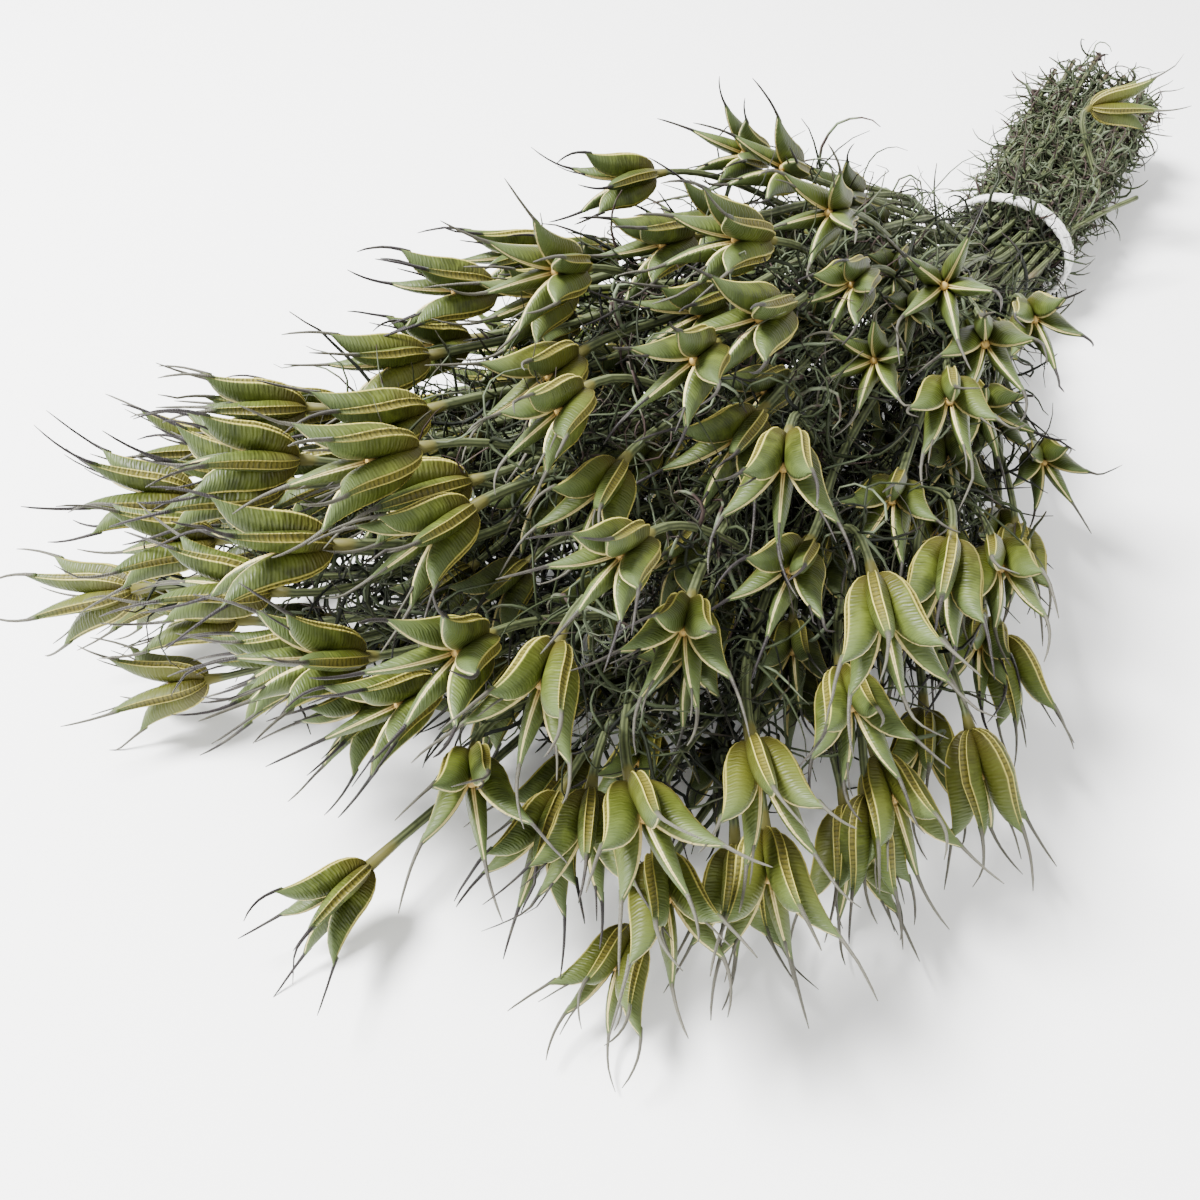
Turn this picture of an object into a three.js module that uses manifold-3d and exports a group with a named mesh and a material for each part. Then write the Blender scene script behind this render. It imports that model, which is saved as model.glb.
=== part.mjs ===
// Tied bunch of dried nigella: leafy stems that fork to a few star-shaped seed pods each, gathered in
// a wound tie and lying on a surface. Millimetres, +Z up. The heads point to -Y and the cut ends to
// +Y. The origin is on the surface, under the middle of the tie.

import * as THREE from "three";
import { mergeVertices } from "three/addons/utils/BufferGeometryUtils.js";
import Module from "manifold-3d";

const wasm = await Module();
wasm.setup();

// Bunch
const STEM_COUNT = 46; // stems in the head
const MOST_BRANCHES = 2; // side branches on a stem, where there is room for their pods
const MOST_PODS = 102;
// Where a branch's pod may lie beside its stem's own: a step in the order of the stems, and a share
// of a half turn round the head
const FORK_STEPS = [1, 2, 4, 7, 10, 14, 19, 25];
const FORK_TURNS = [0.05, -0.05, 0.1, -0.1, 0.16, -0.16];
const NEAR_REACH = 92; // tie to the nearest pod, at the sides
const NEAR_TOP = 142; // and on top
const HEAD_REACH = 330; // tie to the furthest pod of the head
const HALF_WIDTH = 100; // of the head's front
const FAN = 1; // below 1 the sides open out quickly after the tie
// How far the stems reach at the front on each side and on top, over the head's reach
const FRONT_REACH = { left: 1.06, right: 0.95, top: 1.07 };
const CORE_SHORT = 0.2; // how much shorter the stems in the core are
const HEAD_HEIGHT = 78; // from the lowest head stems to the highest
const TILT = 0.15; // how much higher the left side is than the right
const UNDERSIDE = 15; // height of the lowest head stems above the surface
const HIGHEST_AT = 0.55; // share of the reach where the head is highest
const RISE_POWER = 1.8; // how steeply it rises after the tie
const FRONT_DROP = 0.42; // share of its height that it loses again at the front
const FRONT_FILL = 0.92; // below 1 the inner stems also fill the front of the head
const CROWDING = 1.7; // above 1 the pods crowd towards the front
const LEAN_NEAR = 0.22; // how far pods near the tie and at the front turn out from the head
const LEAN_FAR = -0.08;
const DROOP = 0.28; // how far pods at the front turn down
const STRAY = 0.42; // how far pods stray from that

// Neck and stalks
const NECK_WIDTH = 20; // half of the neck's width, to the stems' middles
const NECK_DEPTH = 15;
const NECK_HEIGHT = 19.8; // the tie is pressed a little flat under it
const GATHER_LENGTH = 95; // length over which the round neck opens into the head
const STALK_LENGTH = 152; // tie to the furthest cut ends
const STALK_SHORTEST = 0.86; // the shortest stalk over the longest
const STALK_FLARE = 1.4; // width of the stalks at their cut ends, over their width in the tie
const STALK_RISE = 5;
const STALK_DRIFT = -20; // how far the stalks lean to one side at their cut ends

// Stem, branch and thread leaf
const STEM_RADIUS = 1.2;
const BRANCH_RADIUS = 1.0;
const STEM_SIDES = 3;
const STEM_STEP = 64; // spacing of the bends along a stem
const NECK_STEP = 10; // a stem runs straight this far on both sides of the tie
const BEND_LENGTH = 38; // last stretch of a stem, which turns to its pod
const BEND_STEPS = 2;
const TANGENT_STEP = 8; // short stretch of a stem that shows which way it runs
const FORK_LENGTH = 58; // from the fork to the branch's pod
const POD_SINK = 3; // how far a stem runs up into its pod
const THREADS_PER_STEM = 1;
const THREAD_LENGTH = 24;
const THREAD_RADIUS = 0.6;
const THREAD_BEND = 3; // how far a thread's tip bends aside
const THREAD_TRIES = 24;
const THREAD_SPAN = [0.08, 0.92]; // stretch of a stem that has threads
const THREAD_LEAN = [0.2, 0.8]; // how far they lean on along the stem

// Pod: a keeled lobe's main points as [distance from the pod's axis, height above its base]
const POD_LOBES = [5, 5, 6];
const SHOULDER = [5.7, 2.4];
const WAIST = { ridge: [7.7, 10.5], valley: [3.7, 10] };
const STAR_CENTRE = 8.5;
const LOBE_TIP = { ridge: [10.2, 19.8], cheek: [8.7, 19.2], seam: [6.8, 18], halfWidth: 1.4 };
const BEAK_END = [15, 32];
const SPLAYS = [1, 0.7, 0.4]; // how far the lobes stand open
const CLOSING = 0.33; // inward slope, above the waist, of lobes that are shut
const SHIFTS = [0, 7, -7, 13]; // how far a pod may stand aside of its place, or above it
const ROLLS = 3; // turns tried within the angle of one lobe
const LOBE_SPINE = { foot: [3.7, 4], tip: [8.8, 19], girth: 2.5, beakGirth: 0.8 };

// Loose stems: two that lie out in front of the head, and one that lies turned round in the stalks
const LOOSE_FRONT = [
  { name: "loose_stem_1", end: [0, -345, 15], axis: [-0.05, -1, -0.04], slot: [-0.3, -1.08] },
  { name: "loose_stem_2", end: [56, -322, 15], axis: [0.24, -1, -0.04], slot: [0.3, -1.08] },
];
const LOOSE_HEIGHT = 7; // height of their stems over the surface
const TURNED = { start: 30, leave: -45, end: [-2, 62, 44], axis: [0.75, 0.65, 0.05], slot: [1, 0.5] };

// Tie
const TIE_WIDTH = 24; // half of the tie's inner width
const TIE_DEPTH = 18.9;
const TIE_CORD = 1.9; // diameter of the cord
const TIE_TURNS = 3;
const TIE_SIDES = 20;

const GAP = 0.5; // free space kept between the skeletons of different stems
const REST_REACH = 9; // a pod this close to the surface is bent down to lie on it
const SURFACE_BLOCK = 1200; // block under the surface, which trims what is pressed onto it
const PRESS = 0.5; // how far a resting pod is pressed flat
const GOLDEN = (Math.sqrt(5) - 1) / 2;

const COLOURS = { plant: 0x5f6f35, tie: 0xe9ebe8 };

const vec = (x, y, z) => new THREE.Vector3(x, y, z);
const clamp01 = (t) => Math.min(1, Math.max(0, t));
const smooth = (t) => clamp01(t) ** 2 * (3 - 2 * clamp01(t));
const mix = (a, b, t) => a + (b - a) * t;

// An even draw between 0 and 1 for item k. Each prime gives its own series.
const draw = (k, prime) => ((k + 1) * Math.sqrt(prime)) % 1;

// Share of its full height that the head has at a share s of its reach.
function swell(s) {
  if (s < HIGHEST_AT) return 1 - (1 - s / HIGHEST_AT) ** RISE_POWER;
  return 1 - FRONT_DROP * ((s - HIGHEST_AT) / (1 - HIGHEST_AT)) ** 2;
}

// Share of the pods that sit nearer the tie than a distance.
const filledAt = (d) => clamp01((d - NEAR_REACH) / (HEAD_REACH - NEAR_REACH)) ** CROWDING;

// A pod's place in the head: its ring from the core outwards, its turn round the arch, its reach.
function placeOf(order, turnShare) {
  const share = clamp01(1 - (order + 0.5) / STEM_COUNT);
  const turn = Math.PI * clamp01(turnShare);
  const ring = Math.sqrt(1 - share);
  const near = mix(NEAR_REACH, NEAR_TOP, Math.sin(turn));
  const side = mix(FRONT_REACH.left, FRONT_REACH.right, (1 + Math.cos(turn)) / 2);
  const whole = HEAD_REACH * mix(side, FRONT_REACH.top, Math.sin(turn));
  const far = whole * (1 - CORE_SHORT * (1 - ring) ** 4);
  return { ring, turn, reach: mix(near, far, share ** (1 / CROWDING)) };
}

function headPoint({ ring, turn }, d) {
  const spread = ring / Math.sqrt(1 - FRONT_FILL * filledAt(d));
  const halfWidth = mix(NECK_WIDTH, HALF_WIDTH, (d / HEAD_REACH) ** FAN);
  const height = mix(NECK_DEPTH, HEAD_HEIGHT, swell(d / HEAD_REACH));
  const x = halfWidth * spread * Math.cos(turn);
  const tilt = 1 - TILT * Math.cos(turn);
  return vec(x, -d, UNDERSIDE + height * tilt * spread * Math.sin(turn));
}

// A stem's place in the oval neck, as shares of its half width and depth.
function neckSlot(ring, turn) {
  const u = ring * Math.cos(turn);
  return [u, 2 * ring * Math.sin(turn) - Math.sqrt(1 - u * u)];
}

// The stalks behind the tie, which stand a little apart towards their cut ends.
function stalkPoint([u, v], d) {
  const back = clamp01(-d / STALK_LENGTH);
  const flare = mix(1, STALK_FLARE, back);
  const x = STALK_DRIFT * back + NECK_WIDTH * flare * u;
  return vec(x, -d, NECK_HEIGHT + STALK_RISE * back + NECK_DEPTH * flare * v);
}

function stemPoint(stem, d) {
  const neck = stalkPoint(stem.slot, d);
  return d <= 0 ? neck : neck.lerp(headPoint(stem.place, d), smooth(d / GATHER_LENGTH));
}

// Skeletons: each piece as thick line segments, for keeping the stems clear of each other
const segmentsOf = (points, radius, stem) =>
  points.slice(1).map((b, i) => ({ a: points[i], b, radius, stem }));

function segmentDistance(p, q) {
  const d1 = p.b.clone().sub(p.a);
  const d2 = q.b.clone().sub(q.a);
  const r = p.a.clone().sub(q.a);
  const [a, e, f] = [d1.dot(d1), d2.dot(d2), d2.dot(r)];
  const [b, c] = [d1.dot(d2), d1.dot(r)];
  const apart = a * e - b * b;
  let s = apart > 1e-9 ? clamp01((b * f - c * e) / apart) : 0;
  const t = clamp01((b * s + f) / e);
  s = clamp01((b * t - c) / a);
  return d1.multiplyScalar(s).add(p.a).distanceTo(d2.multiplyScalar(t).add(q.a));
}

// Smallest free space between some segments and those of other stems already placed. The search
// stops where it finds less than enough.
function freeSpace(segments, enough) {
  let least = Infinity;
  for (const p of segments) {
    if (least < enough) return least;
    const middle = p.a.clone().add(p.b).multiplyScalar(0.5);
    const half = p.a.distanceTo(p.b) / 2;
    for (const q of placed) {
      if (q.stem === p.stem) continue;
      const near = middle.distanceTo(q.middle) - half - q.half - p.radius - q.radius;
      if (near < least) least = Math.min(least, segmentDistance(p, q) - p.radius - q.radius);
    }
  }
  return least;
}

const placed = [];
function place(segments) {
  for (const s of segments) {
    s.middle = s.a.clone().add(s.b).multiplyScalar(0.5);
    s.half = s.a.distanceTo(s.b) / 2;
    placed.push(s);
  }
}

// A pod's frame: its axis is Z, and roll turns it about that.
function podMatrix(base, axis, roll) {
  const turn = new THREE.Quaternion().setFromUnitVectors(vec(0, 0, 1), axis);
  turn.multiply(new THREE.Quaternion().setFromAxisAngle(vec(0, 0, 1), roll));
  return new THREE.Matrix4().compose(base, turn, vec(1, 1, 1));
}

// A point of a lobe: distance out, height, and offset to the side, on the lobe that stands at angle.
function lobePoint([out, up], angle, splay, side = 0) {
  const open = out - (1 - splay) * CLOSING * Math.max(0, up - WAIST.ridge[1]);
  return vec(
    open * Math.cos(angle) - side * Math.sin(angle),
    open * Math.sin(angle) + side * Math.cos(angle),
    up,
  );
}

function podSegments(pose, stem) {
  const segments = [];
  for (let i = 0; i < pose.lobes; i++) {
    const angle = (2 * Math.PI * i) / pose.lobes;
    const at = (point) => lobePoint(point, angle, pose.splay).applyMatrix4(pose.matrix);
    const [foot, tip, end] = [at(LOBE_SPINE.foot), at(LOBE_SPINE.tip), at(BEAK_END)];
    segments.push({ a: foot, b: tip, radius: LOBE_SPINE.girth, stem });
    segments.push({ a: tip, b: end, radius: LOBE_SPINE.beakGirth, stem });
  }
  return segments;
}

// Height of a pod's lowest point.
function lowest(pose) {
  const heights = [];
  for (let i = 0; i < pose.lobes; i++) {
    const angle = (2 * Math.PI * i) / pose.lobes;
    for (const point of [SHOULDER, WAIST.ridge, LOBE_TIP.ridge, BEAK_END]) {
      heights.push(lobePoint(point, angle, pose.splay).applyMatrix4(pose.matrix).z);
    }
  }
  return Math.min(...heights);
}

// Tries ways to turn, open and shift a pod, and takes the first that is clear, or else the clearest.
// The pod has an owner of its own, so that it also keeps clear of the stem that it branches from.
function settlePod(k, owner, stem, end, axis, pathTo) {
  const lobes = POD_LOBES[k % POD_LOBES.length];
  const aside = vec(0, 0, 1).cross(axis).normalize();
  const above = axis.clone().cross(aside);
  let best = null;
  for (const splay of SPLAYS) {
    for (const lift of SHIFTS) {
      for (const sway of SHIFTS) {
        for (let turn = 0; turn < ROLLS; turn++) {
          const roll = 2 * Math.PI * (draw(k, 7) + turn / (ROLLS * lobes));
          const base = end.clone().addScaledVector(aside, sway).addScaledVector(above, lift);
          const low = lowest({ lobes, splay, matrix: podMatrix(base, axis, roll) });
          if (low < REST_REACH) base.z -= low + PRESS;
          const pose = { lobes, splay, matrix: podMatrix(base, axis, roll) };
          const path = pathTo(base);
          const segments = [...podSegments(pose, owner), ...segmentsOf(path, STEM_RADIUS, stem)];
          const free = freeSpace(segments, best ? best.free : -Infinity);
          if (!best || free > best.free) best = { free, pose, axis, path, segments };
          if (free >= GAP) return best;
        }
      }
    }
  }
  return best;
}

// The way a pod looks: on along its stem, and out from the head's middle.
function podAxis(k, stem) {
  const { turn, reach } = stem.place;
  const along = stemPoint(stem, reach).sub(stemPoint(stem, reach - TANGENT_STEP)).normalize();
  const lean = mix(LEAN_NEAR, LEAN_FAR, filledAt(reach));
  const stray = vec(draw(k, 2) - 0.5, draw(k, 3) - 0.5, draw(k, 5) - 0.5).multiplyScalar(STRAY);
  const out = vec(Math.cos(turn), 0, Math.sin(turn)).multiplyScalar(lean);
  out.z -= DROOP * filledAt(reach);
  return along.add(out).add(stray).normalize();
}

const bendTo = (from, ahead, base, axis, length) =>
  new THREE.CubicBezierCurve3(
    from,
    from.clone().addScaledVector(ahead, length / 3),
    base.clone().addScaledVector(axis, -length / 3),
    base,
  ).getPoints(BEND_STEPS);

// Stems of the head
const stems = [];
for (let index = 0; index < STEM_COUNT; index++) {
  const turnShare = (index * GOLDEN) % 1;
  const place = placeOf(index, turnShare);
  const stem = { index, place, slot: neckSlot(place.ring, place.turn), branches: [] };
  stem.name = "stem_" + String(index + 1).padStart(2, "0");
  const beside = (step) => FORK_TURNS.map((turn) => placeOf(index + step, turnShare + turn));
  stem.branchPlaces = FORK_STEPS.filter((step) => index + step < STEM_COUNT).flatMap(beside);
  stem.start = -STALK_LENGTH * mix(STALK_SHORTEST, 1, draw(index, 11));
  const straight = place.reach - BEND_LENGTH;
  const steps = Math.ceil((straight - NECK_STEP) / STEM_STEP);
  const ahead = Array.from({ length: steps + 1 }, (_, i) => mix(NECK_STEP, straight, i / steps));
  const along = [stem.start, -NECK_STEP, ...ahead];
  stem.main = along.map((d) => stemPoint(stem, d));
  stems.push(stem);
}

// Loose stems
LOOSE_FRONT.forEach(({ name, end, axis, slot }) => {
  const base = vec(...end);
  const tied = stalkPoint(slot, 0);
  const cut = stalkPoint(slot, -STALK_LENGTH * STALK_SHORTEST);
  const ahead = vec(...axis).normalize();
  const under = [0.2, 0.5, 0.8].map((t) => {
    return tied.clone().lerp(base, t).setZ(mix(tied.z, LOOSE_HEIGHT, smooth(2 * t)));
  });
  const stem = { name, index: stems.length, end: base, axis: ahead, branches: [] };
  stem.main = [cut, tied, ...under];
  stems.push(stem);
});
const turned = { name: "turned_stem", index: stems.length, branches: [] };
turned.end = vec(...TURNED.end);
turned.axis = vec(...TURNED.axis).normalize();
turned.main = [TURNED.start, 0, TURNED.leave].map((d) => stalkPoint(TURNED.slot, d));
stems.push(turned);

stems.forEach((stem) => place(segmentsOf(stem.main, STEM_RADIUS, stem.index)));
const hoop = Array.from({ length: TIE_SIDES + 1 }, (_, i) => {
  const angle = (2 * Math.PI * i) / TIE_SIDES;
  return vec(TIE_WIDTH * Math.cos(angle), 0, NECK_HEIGHT + TIE_DEPTH * Math.sin(angle));
});
place(segmentsOf(hoop, (TIE_TURNS * TIE_CORD) / 2, "tie"));

// Pods at the stems' ends, first those with a set place
const pods = [];
const settleOrder = [...stems.filter((stem) => stem.end), ...stems.filter((stem) => !stem.end)];
settleOrder.forEach((stem) => {
  const from = stem.main.at(-1);
  const ahead = from.clone().sub(stem.main.at(-2)).normalize();
  const end = stem.end ?? stemPoint(stem, stem.place.reach);
  const axis = stem.axis ?? podAxis(stem.index, stem);
  const pathTo = (base) => bendTo(from, ahead, base, axis, from.distanceTo(base));
  const settled = settlePod(stem.index, stem.index, stem.index, end, axis, pathTo);
  place(settled.segments);
  stem.main.push(...settled.path.slice(1), settled.path.at(-1).clone().addScaledVector(axis, POD_SINK));
  pods.push({ stem, pose: settled.pose });
});

// The point of a stem's path at a place along Y.
function onPath(path, y) {
  const i = path.findIndex((point) => point.y <= y);
  const [a, b] = [path[i - 1], path[i]];
  return a.clone().lerp(b, (a.y - y) / (a.y - b.y));
}

// Pods on the branches
function settleBranch(stem, place, number) {
  const side = { ...stem, place };
  const k = stems.length * number + stem.index;
  const axis = podAxis(k, side);
  const from = onPath(stem.main, -Math.max(NECK_STEP, place.reach - FORK_LENGTH));
  const pathTo = (base) => {
    const ahead = base.clone().sub(from).normalize();
    return bendTo(from, ahead, base, axis, from.distanceTo(base));
  };
  const owner = stem.index + number / (MOST_BRANCHES + 1);
  return settlePod(k, owner, stem.index, stemPoint(side, place.reach), axis, pathTo);
}

function growBranch(stem, number) {
  for (const spot of stem.branchPlaces ?? []) {
    const { free, segments, path, axis, pose } = settleBranch(stem, spot, number);
    if (free < GAP) continue;
    place(segments);
    stem.branches.push([...path, path.at(-1).clone().addScaledVector(axis, POD_SINK)]);
    pods.push({ stem, pose });
    return;
  }
}
for (let number = 1; number <= MOST_BRANCHES; number++) {
  for (const stem of stems) if (pods.length < MOST_PODS) growBranch(stem, number);
}

// A point on a bent thread, at a share of its length.
const threadPoint = (share) => vec(THREAD_BEND * share ** 2, 0, THREAD_LENGTH * share);

// Thread leaves, on the stems where there is room for them
const threads = [];
function growThread(stem, n) {
  const at = mix(...THREAD_SPAN, draw(n, 13)) * (stem.main.length - 2);
  const [a, b] = [stem.main[Math.floor(at)], stem.main[Math.floor(at) + 1]];
  const root = a.clone().lerp(b, at % 1);
  const along = b.clone().sub(a).normalize();
  const across = vec(0, 0, 1).cross(along).normalize().applyAxisAngle(along, 2 * Math.PI * draw(n, 17));
  const axis = across.addScaledVector(along, mix(...THREAD_LEAN, draw(n, 19))).normalize();
  const matrix = podMatrix(root, axis, n);
  const line = [0, 0.5, 1].map((share) => threadPoint(share).applyMatrix4(matrix));
  const segments = segmentsOf(line, THREAD_RADIUS, stem.index);
  if (line[2].z < THREAD_RADIUS || freeSpace(segments, GAP) < GAP) return false;
  place(segments);
  threads.push({ stem, matrix });
  return true;
}
stems.forEach((stem) => {
  for (let i = 0; i < THREADS_PER_STEM; i++) {
    const first = (stem.index * THREADS_PER_STEM + i) * THREAD_TRIES;
    const tries = Array.from({ length: THREAD_TRIES }, (_, attempt) => first + attempt);
    tries.some((n) => growThread(stem, n));
  }
});

// Solids
function solidOf(geometry, matrix = new THREE.Matrix4()) {
  const bare = geometry.clone().applyMatrix4(matrix);
  bare.deleteAttribute("normal");
  bare.deleteAttribute("uv");
  const merged = mergeVertices(bare, 1e-4);
  const triVerts = new Uint32Array(merged.index.array);
  return new wasm.Manifold(
    new wasm.Mesh({ numProp: 3, vertProperties: merged.attributes.position.array, triVerts }),
  );
}

function geometryOf(solid) {
  const { vertProperties, triVerts } = solid.getMesh();
  const geometry = new THREE.BufferGeometry();
  geometry.setAttribute("position", new THREE.BufferAttribute(vertProperties, 3));
  geometry.setIndex(new THREE.BufferAttribute(triVerts, 1));
  geometry.computeVertexNormals();
  return geometry;
}

// A curve that is stepped from one of its own points to the next.
class Route extends THREE.CatmullRomCurve3 {
  getPointAt(t, target) {
    return this.getPoint(t, target);
  }
  getTangentAt(t, target) {
    return this.getTangent(t, target);
  }
}

function tube(points, radius) {
  const corners = Array.from({ length: STEM_SIDES }, (_, i) => {
    const angle = (2 * Math.PI * i) / STEM_SIDES;
    return new THREE.Vector2(radius * Math.cos(angle), radius * Math.sin(angle));
  });
  const settings = { steps: points.length - 1, extrudePath: new Route(points) };
  return new THREE.ExtrudeGeometry(new THREE.Shape(corners), settings);
}

// A pod as one closed star: a rounded foot, a waist, and lobes that part above the star's centre.
function podGeometry({ lobes, splay }) {
  const points = [vec(0, 0, 0), vec(0, 0, STAR_CENTRE)];
  const faces = [];
  const add = (...args) => points.push(lobePoint(...args)) - 1;
  const quad = (a, b, c, d) => faces.push(a, b, c, a, c, d);
  const step = Math.PI / lobes;
  const [foot, centre] = [0, 1];
  const shoulder = [];
  const waist = [];
  for (let j = 0; j < 2 * lobes; j++) {
    if (j % 2 === 0) shoulder.push(add(SHOULDER, j * step, splay));
    waist.push(add(j % 2 ? WAIST.valley : WAIST.ridge, j * step, splay));
  }
  const next = (j) => (j + 1) % (2 * lobes);
  const back = (j) => (j + 2 * lobes - 1) % (2 * lobes);
  for (let i = 0; i < lobes; i++) {
    const [here, beside, j] = [shoulder[i], shoulder[(i + 1) % lobes], 2 * i];
    faces.push(foot, beside, here, here, beside, waist[j + 1]);
    faces.push(here, waist[j + 1], waist[j], beside, waist[next(j + 1)], waist[j + 1]);
  }
  for (let j = 0; j < 2 * lobes; j += 2) {
    const angle = j * step;
    const low = [waist[j], waist[next(j)], centre, waist[back(j)]];
    const high = [
      add(LOBE_TIP.ridge, angle, splay),
      add(LOBE_TIP.cheek, angle, splay, LOBE_TIP.halfWidth),
      add(LOBE_TIP.seam, angle, splay),
      add(LOBE_TIP.cheek, angle, splay, -LOBE_TIP.halfWidth),
    ];
    const end = add(BEAK_END, angle, splay);
    for (let i = 0; i < 4; i++) {
      const n = (i + 1) % 4;
      quad(low[i], low[n], high[n], high[i]);
      faces.push(high[i], high[n], end);
    }
  }
  const geometry = new THREE.BufferGeometry().setFromPoints(points);
  return geometry.setIndex(faces);
}

// A thread leaf: a thin cone bent to one side.
function threadGeometry() {
  const cone = new THREE.ConeGeometry(THREAD_RADIUS, THREAD_LENGTH, 3, 2);
  cone.rotateX(Math.PI / 2).translate(0, 0, THREAD_LENGTH / 2);
  const position = cone.getAttribute("position");
  for (let i = 0; i < position.count; i++) {
    position.setX(i, position.getX(i) + threadPoint(position.getZ(i) / THREAD_LENGTH).x);
  }
  return cone;
}

const surfaceBox = solidOf(
  new THREE.BoxGeometry(SURFACE_BLOCK, SURFACE_BLOCK, SURFACE_BLOCK),
  new THREE.Matrix4().makeTranslation(0, 0, -SURFACE_BLOCK / 2),
);

const threadShape = threadGeometry();
function stemSolid(stem) {
  let solid = solidOf(tube(stem.main, STEM_RADIUS));
  for (const path of stem.branches) solid = solid.add(solidOf(tube(path, BRANCH_RADIUS)));
  for (const { pose } of pods.filter((p) => p.stem === stem)) {
    solid = solid.add(solidOf(podGeometry(pose), pose.matrix));
  }
  for (const { matrix } of threads.filter((t) => t.stem === stem)) {
    solid = solid.add(solidOf(threadShape, matrix));
  }
  return solid.subtract(surfaceBox);
}

// The tie: turns of cord side by side, as one ring round the neck.
function tieSolid() {
  const radius = TIE_CORD / 2;
  const profile = new THREE.Shape();
  profile.moveTo(TIE_WIDTH, -TIE_TURNS * radius);
  for (let i = 0; i < TIE_TURNS; i++) {
    const middle = (2 * i + 1 - TIE_TURNS) * radius;
    profile.absarc(TIE_WIDTH + radius, middle, radius, -Math.PI / 3, Math.PI / 3);
  }
  profile.lineTo(TIE_WIDTH, TIE_TURNS * radius);
  profile.closePath();
  const ring = new THREE.LatheGeometry(profile.getPoints(2), TIE_SIDES);
  const lay = new THREE.Matrix4().makeScale(1, 1, TIE_DEPTH / TIE_WIDTH).setPosition(0, 0, NECK_HEIGHT);
  return solidOf(ring, lay).subtract(surfaceBox);
}

const plantFinish = new THREE.MeshStandardMaterial({ color: COLOURS.plant, roughness: 0.75, metalness: 0 });
const tieFinish = new THREE.MeshStandardMaterial({ color: COLOURS.tie, roughness: 0.85, metalness: 0 });

function part(name, solid, material) {
  const mesh = new THREE.Mesh(geometryOf(solid), material);
  mesh.name = name;
  return mesh;
}

const bunch = new THREE.Group();
bunch.name = "nigella_bunch";
for (const stem of stems) bunch.add(part(stem.name, stemSolid(stem), plantFinish));
bunch.add(part("tie", tieSolid(), tieFinish));

export default bunch;
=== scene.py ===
import math
import random

import bmesh
import bpy
from mathutils import Matrix, Vector
from mathutils.geometry import interpolate_bezier


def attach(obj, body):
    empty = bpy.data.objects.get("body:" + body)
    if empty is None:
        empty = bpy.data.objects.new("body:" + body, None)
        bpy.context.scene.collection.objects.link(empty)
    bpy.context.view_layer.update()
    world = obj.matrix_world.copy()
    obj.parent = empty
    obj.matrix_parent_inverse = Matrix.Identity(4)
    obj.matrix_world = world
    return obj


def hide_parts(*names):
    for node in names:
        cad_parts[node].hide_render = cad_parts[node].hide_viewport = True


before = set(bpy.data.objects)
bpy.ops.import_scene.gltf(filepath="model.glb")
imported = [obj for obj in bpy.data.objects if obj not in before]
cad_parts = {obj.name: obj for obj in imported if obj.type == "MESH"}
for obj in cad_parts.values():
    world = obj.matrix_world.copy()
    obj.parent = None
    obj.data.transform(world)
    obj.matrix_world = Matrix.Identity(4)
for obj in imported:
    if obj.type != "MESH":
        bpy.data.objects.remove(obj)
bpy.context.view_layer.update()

# Every piece is shaped in millimetres in the shared frame, heads toward -Y, and scaled to metres at the end.
millimetre = 0.001
golden = (math.sqrt(5) - 1) / 2


def clamp01(t):
    return min(1.0, max(0.0, t))


def smooth(t):
    t = clamp01(t)
    return t * t * (3 - 2 * t)


def mix(a, b, t):
    return a + (b - a) * t


def draw(k, prime):
    return ((k + 1) * math.sqrt(prime)) % 1


# The layout of the bunch: where each stem runs, from its cut end through the tie to its head.
bunch = {
    "stems": 46,
    "nearReach": 92,
    "nearTop": 142,
    "headReach": 330,
    "halfWidth": 100,
    "reachLeft": 1.06,
    "reachRight": 0.95,
    "reachTop": 1.07,
    "coreShort": 0.2,
    "headHeight": 78,
    "tilt": 0.15,
    "underside": 15,
    "highestAt": 0.55,
    "risePower": 1.8,
    "frontDrop": 0.42,
    "frontFill": 0.92,
    "crowding": 1.7,
    "neckWidth": 20,
    "neckDepth": 15,
    "neckHeight": 19.8,
    "neckStep": 10,
    "gatherLength": 95,
    "stalkLength": 152,
    "stalkShortest": 0.86,
    "stalkFlare": 1.4,
    "stalkRise": 5,
    "stalkDrift": -20,
    "stalkPrime": 11,
    "bendLength": 38,
    "forkLength": 58,
    "forkSteps": (1, 2, 4, 7, 10, 14, 19, 25),
    "forkTurns": (0.05, -0.05, 0.1, -0.1, 0.16, -0.16),
}


def swell(share):
    if share < bunch["highestAt"]:
        return 1 - (1 - share / bunch["highestAt"]) ** bunch["risePower"]
    return 1 - bunch["frontDrop"] * ((share - bunch["highestAt"]) / (1 - bunch["highestAt"])) ** 2


def filledAt(reach):
    span = bunch["headReach"] - bunch["nearReach"]
    return clamp01((reach - bunch["nearReach"]) / span) ** bunch["crowding"]


def placeOf(order, turnShare):
    share = clamp01(1 - (order + 0.5) / bunch["stems"])
    turn = math.pi * clamp01(turnShare)
    ring = math.sqrt(1 - share)
    near = mix(bunch["nearReach"], bunch["nearTop"], math.sin(turn))
    side = mix(bunch["reachLeft"], bunch["reachRight"], (1 + math.cos(turn)) / 2)
    whole = bunch["headReach"] * mix(side, bunch["reachTop"], math.sin(turn))
    far = whole * (1 - bunch["coreShort"] * (1 - ring) ** 4)
    return {"ring": ring, "turn": turn, "reach": mix(near, far, share ** (1 / bunch["crowding"]))}


def neckSlot(ring, turn):
    u = ring * math.cos(turn)
    return u, 2 * ring * math.sin(turn) - math.sqrt(1 - u * u)


def stalkPoint(slot, reach):
    back = clamp01(-reach / bunch["stalkLength"])
    flare = mix(1, bunch["stalkFlare"], back)
    return Vector((
        bunch["stalkDrift"] * back + bunch["neckWidth"] * flare * slot[0],
        -reach,
        bunch["neckHeight"] + bunch["stalkRise"] * back + bunch["neckDepth"] * flare * slot[1],
    ))


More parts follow.
